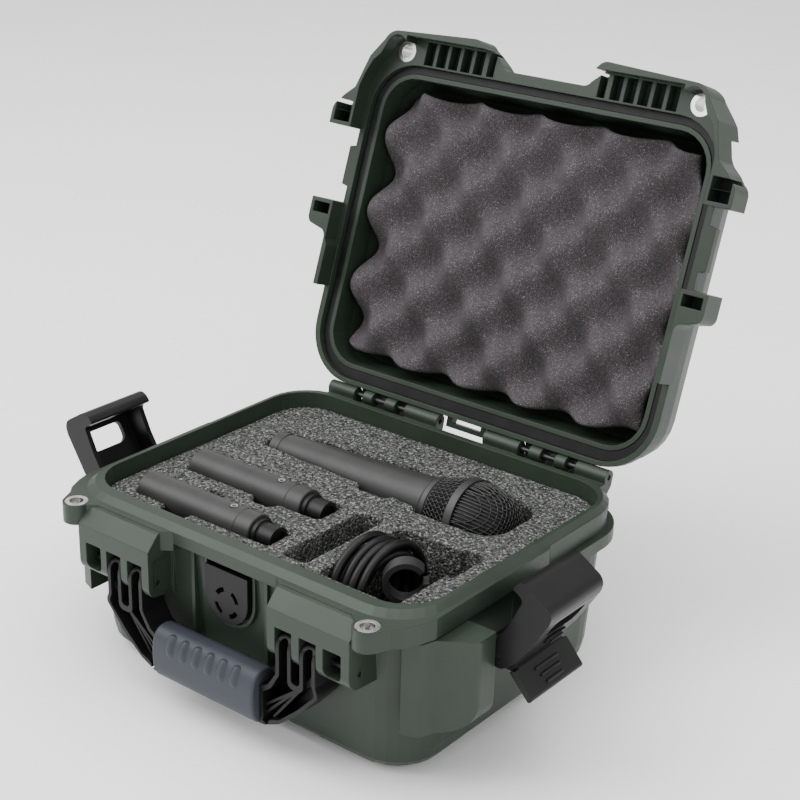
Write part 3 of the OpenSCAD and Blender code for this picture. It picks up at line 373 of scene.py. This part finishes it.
SHELL = moulded("olive_shell", (0.0165, 0.0255, 0.0170), (0.0220, 0.0325, 0.0225), 0.40)
LATCH_BLACK = moulded(
    "satin_black", (0.0050, 0.0046, 0.0050), (0.0080, 0.0074, 0.0080), 0.38, edge=0.5, glance=0.2
)
PAD_SLATE = moulded(
    "slate_pad", (0.0055, 0.0052, 0.0058), (0.0085, 0.0082, 0.0090), 0.42, edge=0.5, glance=0.2
)
GRIP_RUBBER = moulded(
    "slate_grip", (0.028, 0.032, 0.040), (0.034, 0.039, 0.049), 0.5,
    grain=0.6, depth=0.05, glance=0.25,
)
SEAL_RUBBER = rubber("seal_rubber", (0.0035, 0.0035, 0.0035), (0.007, 0.007, 0.007), 0.5)
CABLE_RUBBER = rubber(
    "cable_sheath", (0.0045, 0.0045, 0.0047), (0.0080, 0.0080, 0.0083), 0.42, depth=0.03
)
STEEL = polished_steel("polished_steel")
DARK_STEEL = painted_metal("blackened_steel", (0.008, 0.009, 0.008), (0.014, 0.015, 0.014), 0.34)
BASE_FOAM = speckled_foam(
    "grey_cut_foam", (0.010, 0.011, 0.010), (0.095, 0.098, 0.092), (0.27, 0.28, 0.26),
    cell=1.45, depth=0.8, glint=0.8,
)
LID_FOAM = speckled_foam(
    "dark_egg_foam", (0.036, 0.031, 0.034), (0.082, 0.073, 0.078), (0.28, 0.26, 0.28),
    cell=0.6, depth=0.25, glint=0.92,
)
INSTRUMENT = painted_metal(
    "instrument_grey", (0.021, 0.021, 0.0205), (0.028, 0.028, 0.0275), 0.42
)
TAIL_BLACK = painted_metal(
    "tail_black", (0.004, 0.004, 0.004), (0.007, 0.007, 0.007), 0.42, glance=0.25
)
BUTTON_A = ring_button("ring_button_a", x=-32.4, y=-62.0)
BUTTON_B = ring_button("ring_button_b", x=-34.8, y=-20.0)
WIRE = painted_metal(
    "grille_wire", (0.014, 0.0135, 0.0135), (0.022, 0.0215, 0.0215), 0.32, edge=0.05, glance=0.4
)
CLIP_PLASTIC = moulded(
    "clip_plastic", (0.018, 0.018, 0.018), (0.025, 0.025, 0.025), 0.42, edge=0.4
)

FINISHES = {
    SHELL: ["base_shell", "lid_shell"],
    LATCH_BLACK: [
        "handle_frame",
        "valve_cover",
        "valve_disc",
        "claw_right",
        "claw_left",
        "lock_right",
        "lock_left",
    ],
    PAD_SLATE: ["lever_right", "lever_left"],
    SEAL_RUBBER: ["lid_gasket", "cable_plugs"],
    STEEL: ["base_eyelets", "lid_eyelets"],
    DARK_STEEL: ["hinge_pins", "handle_pins", "latch_pins", "claw_pin_right", "claw_pin_left"],
    INSTRUMENT: ["mic_body", "mic_band", "module_a_body", "module_b_body"],
    TAIL_BLACK: ["module_a_tail", "module_b_tail"],
    BUTTON_A: ["module_a_button"],
    BUTTON_B: ["module_b_button"],
    CLIP_PLASTIC: ["mic_clip"],
    GRIP_RUBBER: ["handle_grip"],
    CABLE_RUBBER: ["cable_coil"],
    BASE_FOAM: ["base_foam", "base_pad"],
    LID_FOAM: ["lid_foam"],
    WIRE: ["mic_grille"],
}
for material, names in FINISHES.items():
    for node_name in names:
        for slot in NODES[node_name].material_slots:
            slot.material = material


# ------------------------------------------------------------------ cable
CABLE_D, CABLE_SIDES = 5.0, 16
COIL_X, COIL_Y, COIL_Z = 47.6, -43.0, 76.6  # middle of the coil's first layer
COIL_R, SPIRAL_GAP, LAYER_GAP = 29.5, 0.9, 0.8
LAYERS, LAYER_TURNS, TURN_STEPS = 4, 1.375, 24
POCKET_FLOOR = 38.0


def coil_points(turns):
    """Middle line of the coil, which stands on edge.

    Its layers spiral in and out in turn, each half-turn climb eased, so they lie side by side.
    """
    back_and_forth = 1 - np.abs((turns / LAYER_TURNS) % 2 - 1)
    radius = COIL_R - (CABLE_D + SPIRAL_GAP) * LAYER_TURNS * back_and_forth
    climb = np.clip((turns[:, None] - LAYER_TURNS * np.arange(1, LAYERS)) * 2 + 0.5, 0, 1)
    lift = (CABLE_D + LAYER_GAP) * (climb**2 * (3 - 2 * climb)).sum(1)
    a = np.radians(180 - 360 * turns)
    return np.stack([COIL_X + lift, COIL_Y + radius * np.cos(a), COIL_Z + radius * np.sin(a)], -1)


def cable_route():
    """From the lying plug up into the coil, round it, and down into the second plug."""
    z = POCKET_FLOOR + 5.3
    start = [
        [72, -71.4, z],
        [66, -71.4, z],
        [58, -71.8, z - 1.6],
        [51.6, -72.2, z + 0.6],
        [48.4, -72.4, z + 6.2],
        [COIL_X, COIL_Y - COIL_R, z + 14],
        [COIL_X, COIL_Y - COIL_R, COIL_Z - 12],
    ]
    coil = coil_points(np.arange(int(TURN_STEPS * LAYERS * LAYER_TURNS) + 1) / TURN_STEPS)
    x, y, top = coil[-1]
    end = [
        [x + 0.2, y + 0.2, top - 5],
        [x + 2.2, y, top - 10],
        [x + 6.4, y, top - 14.5],
        [x + 9.6, y, top - 19],
        [x + 10.4, y, top - 24],
        [x + 10.4, y, top - 29.2],
    ]
    return smooth_route(np.vstack([start, coil, end]), 3)


def make_cable():
    """The whole cable as one tube of its real thickness along its route."""
    line = cable_route()
    points, faces = tube(line, CABLE_D / 2, CABLE_SIDES)
    cable = make_piece("cable_lead", points, faces, "cable", CABLE_RUBBER)
    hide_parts("cable_coil")


make_cable()


# ------------------------------------------------------------------ foam
def make_cut_foam(name, node, voxel, rough):
    """Cut foam over a packed block; voxel and rough are in millimetres.

    A merged copy of the block is remeshed in small cells, eased, and roughened by a seeded
    noise along its normals.
    """
    block = add_object(name + "_block", NODES[node].data.copy())
    weld = block.modifiers.new("merge", "WELD")
    weld.merge_threshold = 1e-6
    cells = block.modifiers.new("cells", "REMESH")
    cells.mode, cells.voxel_size, cells.use_smooth_shade = "VOXEL", voxel * MM, True
    depsgraph = bpy.context.evaluated_depsgraph_get()
    cut = bpy.data.meshes.new_from_object(block.evaluated_get(depsgraph))
    bpy.data.objects.remove(block)
    count = len(cut.vertices)
    co, out = np.empty(count * 3, np.float32), np.empty(count * 3, np.float32)
    cut.vertices.foreach_get("co", co)
    cut.vertex_normals.foreach_get("vector", out)
    shift = np.random.default_rng(7).uniform(-rough, rough * 0.4, (count, 1)) * MM
    co = co.reshape(-1, 3) + out.reshape(-1, 3) * shift
    cut.vertices.foreach_set("co", co.astype(np.float32).ravel())
    cut.update()
    cut.materials.clear()
    cut.materials.append(BASE_FOAM)
    piece = add_object(name, cut)
    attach(piece, "base")
    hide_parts(node)


PARTING = 103.0
HINGE_Y, HINGE_Z = 108.5, 2.3  # the hinge line; its height is above the parting plane
LID_OPEN = 109.3
LID_ANGLE = math.radians(-LID_OPEN)


def opened(p):
    """Turns points of the shut lid, measured from the parting plane, back about the hinge line."""
    y, z = p[..., 1] - HINGE_Y, p[..., 2] - HINGE_Z
    c, s = math.cos(LID_ANGLE), math.sin(LID_ANGLE)
    return np.stack([p[..., 0], HINGE_Y + c * y - s * z, PARTING + HINGE_Z + s * y + c * z], -1)


def make_lid_foam():
    """Egg-crate foam: height is the product of two cosines, over a rectangle.

    The rectangle's edges are wavy and slightly softened, and the walls draw in to the back.
    """
    nx, ny, wall_rows = 176, 148, 10
    half_x, half_y, middle = 116.8, 88.0, -3.0
    back, thick, bump = 45.1, 41, 9.5
    pitch_x, pitch_y, crest_x, crest_y = 46.5, 50, 86.5, 10.5
    edge_drop, edge_width, draw_in = 1.6, 2.5, 0.22
    u, v = np.meshgrid(np.linspace(-1, 1, nx + 1), np.linspace(-1, 1, ny + 1))
    corner = 1 - 0.05 * (u * v) ** 6
    side_wave = (1 + 0.02 * np.cos(np.radians(v * 680 + 40)) * u**4) / 1.02
    end_wave = (1 + 0.02 * np.cos(np.radians(u * 920 + 80)) * v**4) / 1.02
    x, y = half_x * u * corner * side_wave, middle + half_y * v * corner * end_wave
    waves_x = np.cos(2 * np.pi * (x + crest_x) / pitch_x)
    waves_y = np.cos(2 * np.pi * (y + crest_y) / pitch_y)
    uneven = 0.35 * np.cos(x / 17 + 1) * np.cos(y / 23 + 2)
    uneven = uneven + 0.2 * np.cos(x / 7.1) * np.cos(y / 6.3 + 1)
    edge = np.minimum((1 - np.abs(u)) * half_x, (1 - np.abs(v)) * half_y)
    softened = edge_drop * np.clip(1 - edge / edge_width, 0, 1) ** 2
    z = back - thick + bump + bump * (waves_x * waves_y) + uneven + softened
    top = np.stack([x, y, z], -1).reshape(-1, 3)
    number = np.arange((nx + 1) * (ny + 1)).reshape(ny + 1, nx + 1)
    ring = np.concatenate([number[0, :-1], number[:-1, -1], number[-1, :0:-1], number[:0:-1, 0]])
    share = (np.arange(1, wall_rows + 1) / wall_rows)[:, None]
    draw = 1 - draw_in * share
    rim_x, rim_y, rim_z = top[ring].T[:, None]
    wall_y, wall_z = middle + (rim_y - middle) * draw, rim_z + (back - rim_z) * share
    wall = np.stack([rim_x * draw, wall_y, wall_z], -1)
    points = np.vstack([top, wall.reshape(-1, 3), [[0, middle, back]]])
    wall_numbers = len(top) + np.arange(wall_rows * len(ring)).reshape(wall_rows, len(ring))
    joined = np.vstack([ring[None, :], wall_numbers])
    i, j = joined[:-1], joined[1:]
    sides = np.stack([i, j, np.roll(j, -1, 1), np.roll(i, -1, 1)], -1).reshape(-1, 4)
    faces = [grid_faces(ny + 1, nx + 1), sides, fan_faces(joined[-1][::-1], len(points) - 1)]
    foam = make_piece("egg_crate_foam", opened(points), faces, "lid", LID_FOAM)
    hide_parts("lid_foam")
    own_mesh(foam)


make_cut_foam("cut_foam", "base_foam", voxel=1.6, rough=0.32)
make_cut_foam("pocket_floor_foam", "base_pad", voxel=3.0, rough=0.2)
make_lid_foam()


# ------------------------------------------------------------------ microphone head
MIC_Y, MIC_Z = 37.5, 89.5
NECK, BAND_A, BAND_B, TIP = 37.0, 56.0, 61.0, 90.0  # stations along the microphone
DOME_R, LINER_R = 23.2, 21.9
DOME_STRETCH, DOME_FULLNESS = 1.1, 0.55
RIPPLE, SINK = 0.28, 0.35  # how far the wires swing, and how deep their middle surface lies


def head_radius(x):
    """Radius of the head: a cone from the neck to the band, then a rounded dome to the tip."""
    stations = [NECK, NECK + 1, BAND_A - 4, BAND_A, BAND_B]
    cone = np.interp(x, stations, [17.8, 18.4, 22.6, DOME_R, DOME_R])
    s = np.clip((x - BAND_B) / (TIP - BAND_B), 0, 1) ** (1 / DOME_STRETCH)
    dome = DOME_R * np.sqrt(np.clip(1 - s**2, 0, 1)) ** DOME_FULLNESS
    return np.where(x <= BAND_B, cone, dome)


def strands(lines, outward, radius):
    """Four-sided wires along many lines at once.

    Each station has a square of points about its outward and sideways directions.
    """
    ahead = unit(np.gradient(lines, axis=1))
    side = unit(np.cross(ahead, outward))
    up = np.cross(side, ahead)
    square = ((1, 0), (0, 1), (-1, 0), (0, -1))
    rings = np.stack([lines + radius * (side * c + up * s) for c, s in square], 2)
    count, stations = lines.shape[:2]
    starts = np.arange(count)[:, None] * stations * 4
    one = grid_faces(stations, 4, ring=True)
    faces = (one[None] + starts[:, :, None]).reshape(-1, 4)
    ends = starts + np.array([[3, 2, 1, 0]])
    tips = starts + (stations - 1) * 4 + np.array([[0, 1, 2, 3]])
    return rings.reshape(-1, 3), [faces, ends, tips]


def joined_up(wires):
    """One set of points and faces from several."""
    points, faces, start = [], [], 0
    for p, f in wires:
        points.append(p)
        faces += [g + start for g in f]
        start += len(p)
    return np.vstack(points), faces


def woven_cone(count, twist, wire):
    """Rear of the head: two families of wires that wind opposite ways, over and under in turn."""
    wires = []
    x = np.linspace(NECK + 1.2, BAND_A - 0.2, 34)
    run = twist * (x - x[0]) / (x[-1] - x[0])
    number = np.arange(count)[:, None]
    for way in (1, -1):
        angle = number * 2 * np.pi / count + way * run[None]
        crossed = (angle + way * run[None]) * count / (2 * np.pi)
        over = way * RIPPLE * np.cos(np.pi * (crossed + number))
        outward = np.stack([np.full_like(angle, 0.15), np.cos(angle), np.sin(angle)], -1)
        r = head_radius(x)[None] - SINK + over
        along = np.broadcast_to(x, angle.shape)
        line = np.stack([along, r * np.cos(angle), r * np.sin(angle)], -1)
        wires.append(strands(line, unit(outward), wire))
    return joined_up(wires)


def eighth_turn(across):
    """Turns pairs of y and z by 45 degrees about the microphone's axis."""
    return across @ np.array([[1, 1], [-1, 1]]) * math.sqrt(0.5)


def woven_dome(pitch, wire):
    """Front of the head: a flat weave pressed over the dome, turned by 45 degrees.

    Each wire stays in its own plane along the microphone, and eases into the band.
    """
    most, last_wire, flat_from, flat_over, crown = 13, 22.6, 22.9, 0.3, 24
    wires = []
    x_table = np.linspace(BAND_B, TIP, 400)
    r_table = head_radius(x_table)
    for way in (0, 1):
        for number, across in enumerate(np.arange(-most, most + 1) * pitch, -most):
            if abs(across) > last_wire:
                continue
            reach = math.sqrt(DOME_R**2 - across**2)
            along = reach * np.sin(np.linspace(-np.pi / 2, np.pi / 2, 90))
            r = np.hypot(along, across)
            x = np.interp(-np.minimum(r, DOME_R), -r_table, x_table)
            beside = np.full_like(along, across)
            plan = (beside, along) if way == 0 else (along, beside)
            out = unit(np.stack([np.clip(1 - r / crown, 0.05, 1) * crown, *plan], -1))
            flat = np.clip((r - flat_from) / flat_over, 0, 1)
            swing = (1 - 2 * way) * RIPPLE * np.cos(np.pi * (along / pitch + number))
            lift = (swing * (1 - flat) - SINK)[:, None]
            line = np.stack([np.maximum(x, BAND_B + 0.1), *plan], -1) + out * lift
            line[:, 1:] = eighth_turn(line[:, 1:])
            out[:, 1:] = eighth_turn(out[:, 1:])
            wires.append(strands(line[None], out[None], wire))
    return joined_up(wires)


def head_liner():
    """Dark foam liner under the weave: the head's own profile about its axis, a little smaller."""
    sides = 64
    cone_x = np.linspace(NECK + 0.1, BAND_B, 20)
    bend = np.linspace(0, np.pi / 2, 26)[1:]
    dome_x = BAND_B + (TIP - BAND_B - 1.2) * np.sin(bend) ** DOME_STRETCH
    x = np.concatenate([cone_x, dome_x])
    r = np.concatenate([head_radius(cone_x) - 1.3, LINER_R * np.cos(bend) ** DOME_FULLNESS])
    r[0] += 1.2
    a = np.linspace(0, 2 * np.pi, sides, endpoint=False)
    along = np.broadcast_to(x[:, None], (len(x), sides))
    rings = np.stack([along, r[:, None] * np.cos(a), r[:, None] * np.sin(a)], -1)
    points = np.vstack([rings.reshape(-1, 3), [x[0], 0, 0], [x[-1], 0, 0]])
    return points, capped_faces(len(x), sides)


def make_head():
    """Liner and weave of the microphone's head."""
    at = np.array([0, MIC_Y, MIC_Z])
    for name, (points, faces), material in (
        ("head_liner", head_liner(), SEAL_RUBBER),
        ("head_weave_rear", woven_cone(count=44, twist=0.62, wire=0.38), WIRE),
        ("head_weave_front", woven_dome(pitch=2.1, wire=0.4), WIRE),
    ):
        piece = make_piece(name, points + at, faces, "microphone", material)
        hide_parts("mic_grille")


make_head()


# ------------------------------------------------------------------ handle grip
def make_grip():
    """A rounded-box section carried along x, drawn in at both ends.

    Six raised finger ribs lie over its front top edge.
    """
    half, half_y, half_z, y0, z0 = 38.0, 10, 16, -113.5, 35.0
    stations, sides, squareness = 230, 200, 0.78
    end_length, end_drop = 1.6, 1.3
    rib_pitch, ribs_end, no_rib = 9.6, 29.5, 9
    rib_height, rib_width, rib_top = 1.5, 2.1, 1.35
    rib_middle, rib_reach, per_degree = 143, 17, 0.24
    x = np.concatenate([[-half], np.linspace(-half + 0.2, half - 0.2, stations), [half]])
    a = np.linspace(0, 2 * np.pi, sides, endpoint=False)
    side, up = (np.sign(w) * np.abs(w) ** squareness for w in (np.cos(a), np.sin(a)))
    end = np.clip((half - np.abs(x)) / end_length, 0, 1)
    shrink = end_drop * (1 - np.sqrt(1 - (1 - end) ** 2))
    xx, aa = np.meshgrid(x, np.degrees(a), indexing="ij")
    along = np.clip(np.abs(aa - rib_middle) - rib_reach, 0, None) * per_degree
    across = np.where(np.abs(xx) > ribs_end, no_rib, np.abs((xx % rib_pitch) - rib_pitch / 2))
    rib = rib_height * np.clip(rib_top - np.hypot(across, along) / rib_width, 0, 1) ** 0.7
    ry, rz = half_y - shrink[:, None] + rib, half_z - shrink[:, None] + rib
    section = np.stack([xx, y0 + ry * side, z0 + rz * up], -1)
    points = np.vstack([section.reshape(-1, 3), [-half, y0, z0], [half, y0, z0]])
    faces = capped_faces(len(x), sides)
    grip = make_piece("ribbed_grip", points, faces, "handle", GRIP_RUBBER)
    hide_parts("handle_grip")


make_grip()


# ------------------------------------------------------------------ floor and light
FLOOR_HALF = 6
LIGHT_AIM = (0, 0.02, 0.12)
LIGHTS = (  # name, spot, size and power
    ("key", (-1.0, -1.0, 1.7), 1.6, 46),
    ("side", (1.5, -0.9, 0.9), 1.1, 6),
    ("top", (0.1, 0.3, 2.1), 2.2, 40),
)


def make_stage():
    """A pale floor and three large soft lights round the case."""
    pale = Finish("pale_floor", Roughness=0.75, Specular_IOR_Level=0.1)
    drift = pale.noise(220, 2).rises(0.3, 0.7)
    pale.colour(pale.mix(drift, (0.93, 0.93, 0.93), (0.95, 0.95, 0.95)))
    mesh = bpy.data.meshes.new("floor")
    corners = [(x * FLOOR_HALF, y * FLOOR_HALF, 0) for x, y in ((-1, -1), (1, -1), (1, 1), (-1, 1))]
    mesh.from_pydata(corners, [], [(0, 1, 2, 3)])
    mesh.materials.append(pale.material)
    floor = add_object("floor", mesh)
    for name, spot, size, power in LIGHTS:
        data = bpy.data.lights.new(name, "AREA")
        data.size, data.energy = size, power
        light = add_object(name, data)
        light.location = spot
        way = np.array(LIGHT_AIM) - np.array(spot)
        light.rotation_mode = "QUATERNION"
        light.rotation_quaternion = Vector(way).to_track_quat("-Z", "Y")
    world = bpy.data.worlds.new("studio")
    bpy.context.scene.world = world
    world.use_nodes = True
    sky = world.node_tree.nodes["Background"].inputs
    sky["Color"].default_value = (1, 1, 1, 1)
    sky["Strength"].default_value = 1.1


make_stage()

bpy.context.view_layer.update()
